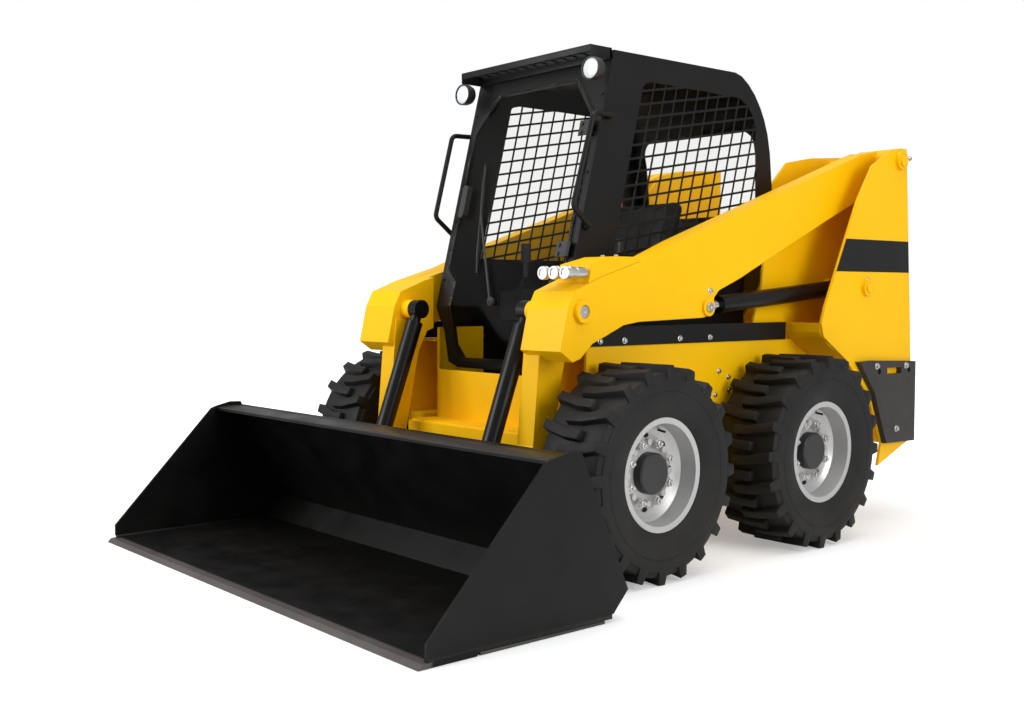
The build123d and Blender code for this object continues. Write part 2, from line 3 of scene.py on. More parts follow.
import bpy
from mathutils import Matrix, Vector


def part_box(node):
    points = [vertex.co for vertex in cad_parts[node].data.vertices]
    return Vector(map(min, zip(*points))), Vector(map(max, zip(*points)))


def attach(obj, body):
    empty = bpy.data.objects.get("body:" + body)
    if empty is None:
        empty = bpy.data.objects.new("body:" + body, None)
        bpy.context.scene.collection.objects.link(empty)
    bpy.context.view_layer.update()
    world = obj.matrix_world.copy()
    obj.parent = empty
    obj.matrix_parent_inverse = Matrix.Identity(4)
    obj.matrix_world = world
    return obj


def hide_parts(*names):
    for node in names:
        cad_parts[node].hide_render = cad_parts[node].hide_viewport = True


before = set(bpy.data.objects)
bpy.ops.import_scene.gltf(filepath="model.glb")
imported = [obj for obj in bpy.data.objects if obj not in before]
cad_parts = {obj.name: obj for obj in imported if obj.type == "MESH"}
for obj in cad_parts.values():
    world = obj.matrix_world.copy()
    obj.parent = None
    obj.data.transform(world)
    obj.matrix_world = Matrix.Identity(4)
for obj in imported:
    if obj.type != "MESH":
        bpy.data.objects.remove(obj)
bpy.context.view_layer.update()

# the drawing and the frame

# Places are millimetres on the machine's drawing, whose depths start midway between the axles.
# MIDWAY is the depth of that point in the part's frame, in metres.
MIDWAY = 0.214
WHEEL_X = 741.0
WHEEL_Z = 423.4
HALF_WHEELBASE = 541.7

TOWER_FACE = 740.0
ARM_FACE = 640.0
WEIGHT_FACE = 766.0
FRAME_FACE = 560.3
CHEEK_FACE = 1091.0

# The cab's upper front runs forwards by FRONT_RUN over a drop of FRONT_RISE, from its top edge.
FRONT_TOP_Y = -369.0
FRONT_TOP_Z = 1959.0
FRONT_RUN = 231.0
FRONT_RISE = 899.0
GLASS_STEP = 14.0


def spot(x, y, z):
    """Millimetres on the drawing to metres in the part's frame."""
    return Vector((x / 1000, y / 1000 + MIDWAY, z / 1000))


def in_metres(points):
    """Points of a flat profile, from millimetres to metres."""
    return [(first / 1000, second / 1000) for first, second in points]


def on_front(x, z, out):
    """A place in front of the cab's upper front plane, by a distance along the depth."""
    y = FRONT_TOP_Y - (FRONT_TOP_Z - z) * FRONT_RUN / FRONT_RISE
    return spot(x, y - out, z)


def wheels():
    """The side, the label and the centre of each wheel."""
    found = []
    for side, side_name in ((1, "left"), (-1, "right")):
        for end, end_name in ((-1, "front"), (1, "rear")):
            centre = spot(side * WHEEL_X, end * HALF_WHEELBASE, WHEEL_Z)
            found.append((side, f"{end_name}_{side_name}", centre))
    return found


# shader nodes

NUMBER = "NodeSocketFloat"
VECTOR = "NodeSocketVector"


def add_node(tree, kind, inputs=None, **settings):
    """A new node with its settings and the values of its inputs."""
    node = tree.nodes.new(kind)
    for key, value in settings.items():
        setattr(node, key, value)
    for label, value in (inputs or {}).items():
        node.inputs[label].default_value = value
    return node


def effect(name, inputs, output, kind):
    """An empty node group: (label, kind, value) for each input, and its one output."""
    group = bpy.data.node_groups.new(name, "ShaderNodeTree")
    for label, given_kind, value in inputs:
        socket = group.interface.new_socket(label, in_out="INPUT", socket_type=given_kind)
        if value is not None:
            socket.default_value = value
    group.interface.new_socket(output, in_out="OUTPUT", socket_type=kind)
    entry = group.nodes.new("NodeGroupInput")
    leave = group.nodes.new("NodeGroupOutput")
    return group, entry.outputs, leave.inputs


def mottle_effect():
    """Slow, cloudy variation between two values."""
    group, given, result = effect(
        "mottle",
        [("Vector", VECTOR, None), ("Scale", NUMBER, 3.0), ("Low", NUMBER, 0.0), ("High", NUMBER, 1.0)],
        "Value", NUMBER,
    )
    cloud = add_node(group, "ShaderNodeTexNoise", {"Detail": 4.0})
    spread = add_node(group, "ShaderNodeMapRange", {"From Min": 0.32, "From Max": 0.68})
    join = group.links.new
    join(given["Vector"], cloud.inputs["Vector"])
    join(given["Scale"], cloud.inputs["Scale"])
    join(cloud.outputs["Fac"], spread.inputs["Value"])
    join(given["Low"], spread.inputs["To Min"])
    join(given["High"], spread.inputs["To Max"])
    join(spread.outputs["Result"], result["Value"])
    return group


def skin_effect():
    """The fine skin of a sprayed, moulded or cast surface, with eased edges."""
    group, given, result = effect(
        "skin",
        [("Vector", VECTOR, None), ("Scale", NUMBER, 400.0), ("Depth", NUMBER, 0.05),
         ("Edge", NUMBER, 0.002)],
        "Normal", VECTOR,
    )
    grain = add_node(group, "ShaderNodeTexNoise", {"Detail": 2.0})
    bump = add_node(group, "ShaderNodeBump", {"Distance": 0.001})
    eased = add_node(group, "ShaderNodeBevel", samples=4)
    join = group.links.new
    join(given["Vector"], grain.inputs["Vector"])
    join(given["Scale"], grain.inputs["Scale"])
    join(given["Edge"], eased.inputs["Radius"])
    join(eased.outputs["Normal"], bump.inputs["Normal"])
    join(grain.outputs["Fac"], bump.inputs["Height"])
    join(given["Depth"], bump.inputs["Strength"])
    join(bump.outputs["Normal"], result["Normal"])
    return group


def dust_effect():
    """A thin film of dust that thins out upwards."""
    group, given, result = effect(
        "settled dust",
        [("Vector", VECTOR, None), ("Top", NUMBER, 0.6), ("Amount", NUMBER, 0.2)],
        "Mask", NUMBER,
    )
    split = add_node(group, "ShaderNodeSeparateXYZ")
    fade = add_node(group, "ShaderNodeMapRange", {"From Min": 0.0, "To Min": 1.0, "To Max": 0.0})
    cloud = add_node(group, "ShaderNodeTexNoise", {"Scale": 9.0, "Detail": 6.0})
    both = add_node(group, "ShaderNodeMath", operation="MULTIPLY")
    scaled = add_node(group, "ShaderNodeMath", operation="MULTIPLY")
    join = group.links.new
    join(given["Vector"], split.inputs[0])
    join(given["Vector"], cloud.inputs["Vector"])
    join(split.outputs["Z"], fade.inputs["Value"])
    join(given["Top"], fade.inputs["From Max"])
    join(fade.outputs["Result"], both.inputs[0])
    join(cloud.outputs["Fac"], both.inputs[1])
    join(both.outputs[0], scaled.inputs[0])
    join(given["Amount"], scaled.inputs[1])
    join(scaled.outputs[0], result["Mask"])
    return group


MOTTLE = mottle_effect()
SKIN = skin_effect()
DUST = dust_effect()


def use(tree, group, vector, **values):
    """Place a shared effect in a material, with its own values."""
    node = add_node(tree, "ShaderNodeGroup", node_tree=group)
    tree.links.new(vector, node.inputs["Vector"])
    for label, value in values.items():
        node.inputs[label].default_value = value
    return node


def mixed(tree, mask, first, second):
    """A colour between two others; each is a colour or a socket."""
    node = add_node(tree, "ShaderNodeMix", data_type="RGBA")
    tree.links.new(mask, node.inputs[0])
    for socket, value in ((node.inputs[6], first), (node.inputs[7], second)):
        if hasattr(value, "is_output"):
            tree.links.new(value, socket)
        else:
            socket.default_value = (*value, 1.0)
    return node.outputs[2]


def new_material(name):
    """A material and its node tree."""
    made = bpy.data.materials.new(name)
    made.use_nodes = True
    return made, made.node_tree


def object_place(tree):
    """The object's own coordinates, as a socket."""
    return add_node(tree, "ShaderNodeTexCoord").outputs["Object"]


# finishes

DUST_COLOUR = (0.32, 0.27, 0.20)
COAT_ROUGHNESS = 0.08
HAZE_TO_CLOUD = 3.1


def finish(name, colour, other, rough, metal=0.0, coat=0.0, grain=(400.0, 0.05), edge=0.0015,
           dust=0.1, dust_top=0.6, cloud=2.5, specular=0.5):
    """A surface: two close colours in soft clouds, a roughness range, a skin and some dust."""
    made, tree = new_material(name)
    shader = tree.nodes["Principled BSDF"]
    place = object_place(tree)
    clouds = use(tree, MOTTLE, place, Scale=cloud)
    tone = mixed(tree, clouds.outputs[0], colour, other)
    film = use(tree, DUST, place, Top=dust_top, Amount=dust)
    tone = mixed(tree, film.outputs[0], tone, DUST_COLOUR)
    tree.links.new(tone, shader.inputs["Base Color"])
    haze = use(tree, MOTTLE, place, Scale=cloud * HAZE_TO_CLOUD, Low=rough[0], High=rough[1])
    tree.links.new(haze.outputs[0], shader.inputs["Roughness"])
    skin = use(tree, SKIN, place, Scale=grain[0], Depth=grain[1], Edge=edge)
    tree.links.new(skin.outputs[0], shader.inputs["Normal"])
    shader.inputs["Metallic"].default_value = metal
    shader.inputs["Coat Weight"].default_value = coat
    shader.inputs["Coat Roughness"].default_value = COAT_ROUGHNESS
    shader.inputs["Specular IOR Level"].default_value = specular
    return made


enamel = finish("yellow enamel", (0.95, 0.525, 0.0006), (0.92, 0.50, 0.0005), (0.36, 0.46),
                grain=(260.0, 0.04), edge=0.005, dust=0.03, specular=0.16)
cab_black = finish("black powder coat", (0.0045, 0.0045, 0.0048), (0.006, 0.006, 0.0065), (0.36, 0.48),
                   grain=(900.0, 0.08), dust=0.015, specular=0.22)
bucket_black = finish("black bucket paint", (0.0018, 0.0017, 0.0017), (0.0032, 0.003, 0.003),
                      (0.34, 0.50), grain=(180.0, 0.05), dust=0.02, dust_top=0.3, specular=0.20)
cylinder_black = finish("black cylinder paint", (0.003, 0.003, 0.003), (0.0045, 0.0045, 0.0045),
                        (0.26, 0.36), grain=(300.0, 0.03), dust=0.01, specular=0.25)
weight_grey = finish("cast weight paint", (0.038, 0.034, 0.032), (0.031, 0.028, 0.027), (0.42, 0.56),
                     grain=(160.0, 0.30), dust=0.06, specular=0.3)
edge_steel = finish("rolled edge steel", (0.075, 0.068, 0.066), (0.05, 0.046, 0.045), (0.34, 0.5),
                    metal=0.6, grain=(220.0, 0.25))
rubber = finish("tyre rubber", (0.0072, 0.0066, 0.0063), (0.0105, 0.0098, 0.0092), (0.50, 0.64),
                grain=(700.0, 0.14), dust=0.02, specular=0.26)
zinc = finish("bright zinc", (0.70, 0.69, 0.67), (0.60, 0.59, 0.58), (0.22, 0.36), metal=1.0,
              grain=(800.0, 0.05), dust=0.02)
chrome = finish("hard chrome", (0.80, 0.80, 0.81), (0.76, 0.76, 0.77), (0.06, 0.12), metal=1.0,
                grain=(500.0, 0.01), dust=0.0)
plastic = finish("moulded black plastic", (0.014, 0.014, 0.015), (0.018, 0.018, 0.019), (0.45, 0.6),
                 grain=(1200.0, 0.35), dust=0.02)
vinyl = finish("seat vinyl", (0.006, 0.006, 0.0065), (0.009, 0.009, 0.009), (0.46, 0.58),
               grain=(650.0, 0.4), dust=0.01, specular=0.25)
boot_rubber = finish("boot rubber", (0.006, 0.006, 0.006), (0.008, 0.008, 0.008), (0.55, 0.7),
                     grain=(900.0, 0.2), dust=0.01, specular=0.2)
lamp_face = finish("lamp face", (0.80, 0.81, 0.81), (0.70, 0.71, 0.72), (0.10, 0.22), coat=0.6,
                   grain=(120.0, 0.35), dust=0.0)
rear_red = finish("rear lens", (0.30, 0.006, 0.004), (0.24, 0.004, 0.003), (0.12, 0.2), coat=0.8,
                  grain=(300.0, 0.3), dust=0.0)
band_black = finish("black band", (0.0045, 0.0045, 0.0045), (0.006, 0.006, 0.006), (0.3, 0.4),
                    grain=(260.0, 0.03), dust=0.0, specular=0.25)
weld_black = finish("painted weld", (0.005, 0.005, 0.005), (0.008, 0.0075, 0.0075), (0.34, 0.5),
                    grain=(70.0, 0.8), dust=0.02, specular=0.22)
# A lighter grey that paints the reflection along the bucket's top lip.
lip_reflection_paint = finish("painted lip reflection", (0.030, 0.027, 0.026), (0.014, 0.013, 0.013), (0.34, 0.48),
                   metal=0.3, grain=(120.0, 0.3), dust=0.02, specular=0.3)
iron = finish("painted casting", (0.10, 0.10, 0.10), (0.08, 0.08, 0.08), (0.5, 0.7),
              grain=(150.0, 0.4), dust=0.15)

CAP_RADIUS = 0.0822
CAP_BLACK = (0.014, 0.014, 0.014)
SILVER_METAL = 0.55


def rim_finish(name, depth):
    """Silver rim with a black hub cap; the cap is found by its distance from the axle."""
    made = finish(name, (0.56, 0.555, 0.55), (0.50, 0.495, 0.49), (0.30, 0.42),
                  grain=(500.0, 0.04), dust=0.06)
    tree = made.node_tree
    shader = tree.nodes["Principled BSDF"]
    axle = spot(0, depth, WHEEL_Z)
    centred = add_node(tree, "ShaderNodeMapping",
                       {"Location": (0, -axle.y, -axle.z), "Scale": (0, 1, 1)})
    reach = add_node(tree, "ShaderNodeVectorMath", operation="LENGTH")
    inside = add_node(tree, "ShaderNodeMath", {1: CAP_RADIUS}, operation="LESS_THAN")
    tree.links.new(object_place(tree), centred.inputs["Vector"])
    tree.links.new(centred.outputs[0], reach.inputs[0])
    tree.links.new(reach.outputs["Value"], inside.inputs[0])
    silver = shader.inputs["Base Color"].links[0].from_socket
    tone = mixed(tree, inside.outputs[0], silver, CAP_BLACK)
    tree.links.new(tone, shader.inputs["Base Color"])
    shine = add_node(tree, "ShaderNodeMapRange", {"To Min": SILVER_METAL, "To Max": 0.0})
    tree.links.new(inside.outputs[0], shine.inputs["Value"])
    tree.links.new(shine.outputs[0], shader.inputs["Metallic"])
    return made


rim_front = rim_finish("silver rim front", -HALF_WHEELBASE)
rim_rear = rim_finish("silver rim rear", HALF_WHEELBASE)


def clear(name, colour, rough, ior=1.45):
    """Glass or a clear lens, with faint smears in its roughness."""
    made, tree = new_material(name)
    shader = tree.nodes["Principled BSDF"]
    place = object_place(tree)
    clouds = use(tree, MOTTLE, place, Scale=1.7)
    deeper = tuple(c * 0.97 for c in colour)
    tree.links.new(mixed(tree, clouds.outputs[0], colour, deeper), shader.inputs["Base Color"])
    haze = use(tree, MOTTLE, place, Scale=5.0, Low=rough, High=rough + 0.02)
    tree.links.new(haze.outputs[0], shader.inputs["Roughness"])
    shader.inputs["Transmission Weight"].default_value = 1.0
    shader.inputs["IOR"].default_value = ior
    return made


glass = clear("cab glass", (0.90, 0.90, 0.88), 0.0, 1.12)
lens = clear("lamp lens", (0.96, 0.96, 0.95), 0.12)

BARE_TO_Y = -1893.0
PAINTED_FROM_Y = -1878.0
EDGE_PAINT = (0.0045, 0.004, 0.004)


def edge_finish():
    """Cutting edge: worn steel along its front bevel, painted black behind it."""
    made = finish("cutting edge", (0.115, 0.100, 0.095), (0.080, 0.070, 0.067), (0.36, 0.5), metal=0.35,
                  grain=(220.0, 0.2), dust=0.02, specular=0.3)
    tree = made.node_tree
    shader = tree.nodes["Principled BSDF"]
    split = add_node(tree, "ShaderNodeSeparateXYZ")
    tree.links.new(object_place(tree), split.inputs[0])
    limits = {"From Min": spot(0, BARE_TO_Y, 0).y, "From Max": spot(0, PAINTED_FROM_Y, 0).y}
    behind = add_node(tree, "ShaderNodeMapRange", limits, interpolation_type="SMOOTHSTEP")
    tree.links.new(split.outputs["Y"], behind.inputs["Value"])
    steel = shader.inputs["Base Color"].links[0].from_socket
    tone = mixed(tree, behind.outputs["Result"], steel, EDGE_PAINT)
    tree.links.new(tone, shader.inputs["Base Color"])
    return made


cutting = edge_finish()

NODE_FINISH = {
    "main_frame": enamel, "front_apron": enamel, "towers": enamel, "engine_hood": enamel,
    "rear_door": enamel, "cab_floor": cab_black, "lift_arms": enamel, "arm_cross_tubes": enamel,
    "coupler_cover": enamel, "side_steps": cab_black, "side_weights": weight_grey,
    "rear_frame": weight_grey, "engine_block": iron, "cab_sides": cab_black, "cab_roof": cab_black,
    "cab_front": cab_black, "rear_window": glass, "cab_door": glass, "side_screens": cab_black,
    "visor": cab_black, "lamps": lens, "seat_base": plastic, "seat": vinyl, "controls": plastic,
    "grab_handles": cab_black, "door_fittings": plastic, "lift_barrels": cylinder_black,
    "lift_rods": chrome, "tilt_barrels": cylinder_black, "tilt_rods": chrome,
    "bucket_cheeks": bucket_black, "bucket_shell": bucket_black, "cutting_edge": cutting,
    "bucket_carrier": cab_black, "couplers": zinc,
    "rim_front_left": rim_front, "rim_front_right": rim_front,
    "rim_rear_left": rim_rear, "rim_rear_right": rim_rear,
}
for name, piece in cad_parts.items():
    surface = rubber if name.startswith("tyre") else NODE_FINISH[name]
    for held in piece.material_slots:
        held.material = surface

# ways of making pieces

MIRROR = Matrix.Diagonal((-1, 1, 1, 1))


def deselect():
    bpy.ops.object.select_all(action="DESELECT")


def only(obj):
    """Select one object alone and make it active."""
    deselect()
    obj.select_set(True)
    bpy.context.view_layer.objects.active = obj


def settle(obj):
    """Put an object's place, turn and scale into its mesh."""
    only(obj)
    bpy.ops.object.transform_apply(location=True, rotation=True, scale=True)


def fasten(obj, name, body, surface, smooth=35.0):
    """Name a piece, put its place into its mesh, give it its finish and let it ride."""
    settle(obj)
    obj.name = name
    if smooth:
        bpy.ops.object.shade_smooth_by_angle(angle=math.radians(smooth))
    obj.data.materials.clear()
    obj.data.materials.append(surface)
    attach(obj, body)
    return obj


def carve(obj, kind, **settings):
    """Add a modifier and apply it."""
    only(obj)
    change = obj.modifiers.new(kind.lower(), kind)
    for key, value in settings.items():
        setattr(change, key, value)
    bpy.ops.object.modifier_apply(modifier=change.name)
    return obj


def ease_edges(obj, width, segments=2):
    """Round the sharp edges; a width of nothing leaves them."""
    if width:
        carve(obj, "BEVEL", width=width, segments=segments, limit_method="ANGLE")
    return obj


def edit_whole(obj):
    """Open an object in edit mode with all of it selected."""
    only(obj)
    bpy.ops.object.mode_set(mode="EDIT")
    bpy.ops.mesh.select_all(action="SELECT")


def leave_edit():
    bpy.ops.object.mode_set(mode="OBJECT")


def tidy_mesh(obj, gap=0.00005):
    """Merge what lies together and turn every face outwards."""
    edit_whole(obj)
    bpy.ops.mesh.remove_doubles(threshold=gap)
    bpy.ops.mesh.normals_make_consistent(inside=False)
    leave_edit()
    return obj


def outline(points):
    """A flat face whose corners are the given points."""
    deselect()
    bpy.ops.mesh.primitive_circle_add(vertices=len(points), radius=1, fill_type="NGON")
    obj = bpy.context.object
    for corner, point in zip(obj.data.vertices, points):
        corner.co = point
    return obj


def drawn_out(obj, move):
    """Extrude the whole face of an outline by a vector."""
    edit_whole(obj)
    bpy.ops.mesh.extrude_region_move(TRANSFORM_OT_translate={"value": move})
    bpy.ops.mesh.select_all(action="SELECT")
    bpy.ops.mesh.normals_make_consistent(inside=False)
    leave_edit()
    return obj


def turned(profile, steps=48):
    """A turned form: (along, radius) points, in metres, spun round the X axis."""
    obj = outline([(x, r, 0) for x, r in profile])
    edit_whole(obj)
    bpy.ops.mesh.delete(type="ONLY_FACE")
    bpy.ops.mesh.select_all(action="SELECT")
    bpy.ops.mesh.spin(steps=steps, angle=2 * math.pi, center=(0, 0, 0), axis=(1, 0, 0))
    leave_edit()
    return tidy_mesh(obj)


def copy_of(obj, move):
    """A copy with its own mesh, moved by a matrix; a mirrored one keeps its faces outwards."""
    twin = obj.copy()
    twin.data = obj.data.copy()
    bpy.context.collection.objects.link(twin)
    twin.data.transform(move)
    if move.determinant() < 0:
        twin.data.flip_normals()
    return twin


def joined(parts):
    """Several objects as one."""
    deselect()
    for part in parts:
        part.select_set(True)
    bpy.context.view_layer.objects.active = parts[0]
    bpy.ops.object.join()
    return bpy.context.object


def facing(place, direction):
    """A matrix that stands a form made along +X at a place, facing a direction."""
    turn_to = Vector(direction).to_track_quat("X", "Z")
    return Matrix.Translation(place) @ turn_to.to_matrix().to_4x4()


def set_round(master, places):
    """Copies of one form at (place, direction) pairs, joined, and the form itself removed."""
    made = joined([copy_of(master, facing(place, direction)) for place, direction in places])
    bpy.data.objects.remove(master)
    return made


def both_sides(places):
    """The (place, direction) pairs, and the same on the machine's other side."""
    mirrored = [(Vector((-p.x, p.y, p.z)), (-d[0], d[1], d[2])) for p, d in places]
    return places + mirrored


def with_twin(obj):
    """The form and its mirror image on the machine's other side, as one piece."""
    return joined([obj, copy_of(obj, MIRROR)])


def block(low, high, ease=0.0, segments=2):
    """A box between two corners given in drawing millimetres, with eased edges."""
    first, last = spot(*low), spot(*high)
    deselect()
    bpy.ops.mesh.primitive_cube_add(size=1, location=(first + last) / 2)
    obj = bpy.context.object
    obj.scale = [abs(value) for value in last - first]
    settle(obj)
    return ease_edges(obj, ease, segments)


def rod_between(start, end, radius, sides=20, ease=0.0):
    """A round bar from one point to another."""
    span = end - start
    deselect()
    bpy.ops.mesh.primitive_cylinder_add(vertices=sides, radius=radius, depth=span.length)
    obj = ease_edges(bpy.context.object, ease)
    turn_to = span.to_track_quat("Z", "Y").to_matrix().to_4x4()
    obj.data.transform(Matrix.Translation((start + end) / 2) @ turn_to)
    return obj


def side_plate(points, x, thick, ease=0.0):
    """A plate seen in side view: (depth, height) points at x, drawn out sideways."""
    plate = drawn_out(outline([spot(x, y, z) for y, z in points]), (thick / 1000, 0, 0))
    return ease_edges(plate, ease)


def bolt(size, washer=1.35):
    """A hexagon head on its washer, standing along +X, with its foot at the origin."""
    height = size * 0.75
    middle = size * 0.55
    washer_foot = size * 0.12
    washer_top = size * 0.2
    deselect()
    bpy.ops.mesh.primitive_cylinder_add(vertices=6, radius=size, depth=height,
                                        location=(middle, 0, 0), rotation=(0, math.pi / 2, 0))
    head = bpy.context.object
    settle(head)
    ease_edges(head, size * 0.12)
    rim = turned([(0, 0), (0, size * washer), (washer_foot, size * washer), (washer_top, size * 1.2),
                  (washer_top, 0)], 20)
    return joined([head, rim])


def side_bolts(name, body, size, face, places, surface=zinc):
    """Bolts on the outer side of both halves, at (depth, height) places on one face."""
    spots = both_sides([(spot(face, y, z), (1, 0, 0)) for y, z in places])
    bolts = set_round(bolt(size / 1000), spots)
    fasten(bolts, name, body, surface)


# tyres

# Half of the carcass's section, as (half width, radius), from the bead to the tread.
BEAD_TO_TREAD = [(112, 211.7), (121, 213), (125, 222), (130, 226), (134, 238), (141, 256), (146, 278),
                 (148.6, 300), (149.2, 321), (147.4, 324), (147.4, 327), (149.6, 330), (150, 346),
                 (150, 363), (148, 368), (144, 371), (141, 380), (137, 391), (128, 395), (70, 396.5)]
LUGS = 20
# A tread bar's outline at its foot and at its crown, as (across, along) the tread.
LUG_FOOT = [(150, 41), (150, -12), (32, -39), (-47, -42), (-52, 11), (24, 13)]
LUG_CROWN = [(142, 34), (142, -5), (30, -32), (-43, -35), (-45, 5), (26, 6)]
LUG_FOOT_RADIUS = 0.362
LUG_RISE = 0.06
TREAD_RADIUS = 0.4245
CROWN_DROP = 0.0008


def carcass():
    """The tyre without its bars, as one turned ring."""
    half = in_metres(BEAD_TO_TREAD)
    return turned(half + [(-x, r) for x, r in half[::-1]], 120)


def lug():
    """One bent tread bar at the top of the tyre, from its shoulder past the middle."""
    foot = in_metres(LUG_FOOT)
    crown = in_metres(LUG_CROWN)
    bar = outline([(x, y, LUG_FOOT_RADIUS) for x, y in foot])
    edit_whole(bar)
    bpy.ops.mesh.extrude_region_move(TRANSFORM_OT_translate={"value": (0, 0, LUG_RISE)})
    leave_edit()
    lifted = [v for v in bar.data.vertices if v.co.z > LUG_FOOT_RADIUS + LUG_RISE / 2]
    for corner in lifted:
        nearest = min(range(len(foot)), key=lambda i: math.dist(foot[i], corner.co[:2]))
        x, y = crown[nearest]
        corner.co = (x, y, math.sqrt(TREAD_RADIUS ** 2 - y ** 2) - CROWN_DROP)
    return ease_edges(tidy_mesh(bar), 0.003)


def make_tyres():
    """One tyre with a ring of bars on each shoulder, half a pitch apart, on all four wheels."""
    bar = lug()
    bars = []
    pitch = 2 * math.pi / LUGS
    for k in range(LUGS):
        bars.append(copy_of(bar, Matrix.Rotation(math.pi + k * pitch, 4, "X")))
        bars.append(copy_of(bar, Matrix.Rotation(math.pi + (k + 0.5) * pitch, 4, "X") @ MIRROR))
    bpy.data.objects.remove(bar)
    whole = joined([carcass()] + bars)
    for side, label, centre in wheels():
        stand = Matrix.Translation(centre)
        tyre = copy_of(whole, stand if side > 0 else stand @ MIRROR)
        fasten(tyre, f"lugged_tyre_{label}", f"wheel_{label}", rubber, 30)
        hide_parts(f"tyre_{label}")
    bpy.data.objects.remove(whole)


# rim fittings

WHEEL_BOLTS = 8
NUT_SIZE = 0.0155
NUT_CIRCLE = 0.121
NUT_FOOT = 0.0621
NUT_START = 22.5
STUD = [(4, 0), (4, 7.5), (20, 7.5), (22, 6), (22, 0)]
HOLE_CIRCLE = 0.146
HOLE_FACE = 0.0385
HOLE_RADIUS = 0.0095
HOLE_STRETCH = 0.5
VALVE_ANGLE = 112


def from_axle(angle):
    """The direction at an angle round the axle, in the plane of the wheel."""
    return Vector((0, math.cos(angle), math.sin(angle)))


def make_wheel_nuts():
    """Eight nuts with their studs on each rim."""
    for side, label, centre in wheels():
        nut = joined([bolt(NUT_SIZE, 1.25), turned(in_metres(STUD), 16)])
        foot = centre + Vector((NUT_FOOT * side, 0, 0))
        angles = [math.radians(NUT_START + 360 / WHEEL_BOLTS * k) for k in range(WHEEL_BOLTS)]
        nuts = set_round(nut, [(foot + from_axle(a) * NUT_CIRCLE, (side, 0, 0)) for a in angles])
        fasten(nuts, f"wheel_nuts_{label}", f"wheel_{label}", zinc)


def painted_hole_shade(angle, side):
    """One black disc standing for the shade in a hand opening of the rim, about the wheel's centre, longer
    round the rim than across it.
    """
    middle = from_axle(angle) * HOLE_CIRCLE
    along = Vector((0, -math.sin(angle), math.cos(angle)))
    face = Vector((HOLE_FACE * side, 0, 0))
    shade_disc = rod_between(middle + face, middle + face * 1.09, HOLE_RADIUS)
    for corner in shade_disc.data.vertices:
        corner.co += along * (corner.co - middle).dot(along) * HOLE_STRETCH
    return shade_disc


def make_rim_painted_hole_shade():
    """Black discs between the nuts, painted shade in the rim's hand openings, and the tyre's valve, on each
    rim.
    """
    for side, label, centre in wheels():
        angles = [math.radians(360 / WHEEL_BOLTS * k) for k in range(WHEEL_BOLTS)]
        hole_shades = joined([painted_hole_shade(a, side) for a in angles])
        hole_shades.data.transform(Matrix.Translation(centre))
        # The discs' black is painted shade standing in the rim's hand openings.
        fasten(hole_shades, f"rim_painted_hole_shade_{label}", f"wheel_{label}", boot_rubber)
        a = math.radians(VALVE_ANGLE)
        out = Vector((0, math.cos(a) * -side, math.sin(a)))
        valve = rod_between(centre + out * 0.176 + Vector((0.040 * side, 0, 0)),
                            centre + out * 0.170 + Vector((0.082 * side, 0, 0)), 0.0045, 12, 0.001)
        fasten(valve, f"tyre_valve_{label}", f"wheel_{label}", boot_rubber)


# lamps

LAMP_X = 394.0
LAMP_Y = -400.0
LAMP_Z = 2040.0
LAMP_SHELL = [(0, 0), (0, 30), (10, 40), (28, 46.5), (56, 48), (60, 47), (60, 42.5), (53, 41.5), (50, 0)]
LAMP_FACE = [(50.3, 0), (50.3, 41), (55, 41), (58, 32), (59.5, 14), (59.8, 0)]


def make_lamps():
    """Work lamps at the ends of the header, as housings and faces, and the rear lenses."""
    places = [(spot(side * LAMP_X, LAMP_Y, LAMP_Z), (0, -1, 0)) for side in (1, -1)]
    housings = set_round(turned(in_metres(LAMP_SHELL), 40), places)
    fasten(housings, "work_lamp_housings", "chassis", plastic)
    faces = set_round(turned(in_metres(LAMP_FACE), 40), places)
    fasten(faces, "work_lamp_faces", "chassis", lamp_face, 25)
    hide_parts("lamps")
    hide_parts("lamps")
    rear = with_twin(block((566, 1500.2, 672), (654, 1507.4, 728), 0.003))
    fasten(rear, "rear_lamp_lenses", "chassis", rear_red)


# visor

VISOR_HALF = 398
GRID_HALF = 390
BAR_HALF = 5
GRID_ROWS = (-452, -415, -378, -341)
GRID_GAPS = 13


def make_visor():
    """A thin pressed grille over the header with a folded front lip and end plates."""
    bars = []
    for y in GRID_ROWS:
        bars.append(block((-GRID_HALF - 2, y - BAR_HALF, 2126), (GRID_HALF + 2, y + BAR_HALF, 2131), 0.0015))
    for k in range(GRID_GAPS + 1):
        x = -GRID_HALF + 2 * GRID_HALF * k / GRID_GAPS
        bars.append(block((x - BAR_HALF, -455, 2126.3), (x + BAR_HALF, -338, 2130.7), 0.001))
    bars.append(block((-VISOR_HALF, -460, 2108), (VISOR_HALF, -455.5, 2137), 0.002))
    for side in (-1, 1):
        bars.append(block((side * 392.5, -459, 2089), (side * VISOR_HALF, -331, 2136), 0.0015))
    bars.append(block((-VISOR_HALF, -345, 2090), (VISOR_HALF, -331, 2136), 0.002))
    visor = joined(bars)
    fasten(visor, "visor_grille", "chassis", cab_black, 30)
    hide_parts("visor")


# bands, bolts and pins

BAND = [(894, 1369), (1443, 1369), (1457, 1218), (819, 1218)]
BAND_GAP = 0.1
BAND_THICKNESS = 0.4
POST_X = 385
POST_BOLT_HEIGHTS = (1946, 1780, 1618, 1450, 1317, 1180)
# The way in which the post bolts and the wiper's hub stand.
FRONT_LEAN = Vector((0, -FRONT_RISE, -FRONT_RUN)).normalized()


def make_bands():
    """The plain black band across each tower."""
    band = with_twin(side_plate(BAND, TOWER_FACE + BAND_GAP, BAND_THICKNESS))
    fasten(band, "tower_bands", "chassis", band_black, 0)


def pin_head(radius, height):
    """A turned pin end with an eased rim and a centre mark, standing along +X."""
    profile = [(0, 0), (0, radius), (height - 2, radius), (height, radius - 2), (height, 6), (height - 3, 2),
               (height - 3, 0)]
    return turned(in_metres(profile), 32)


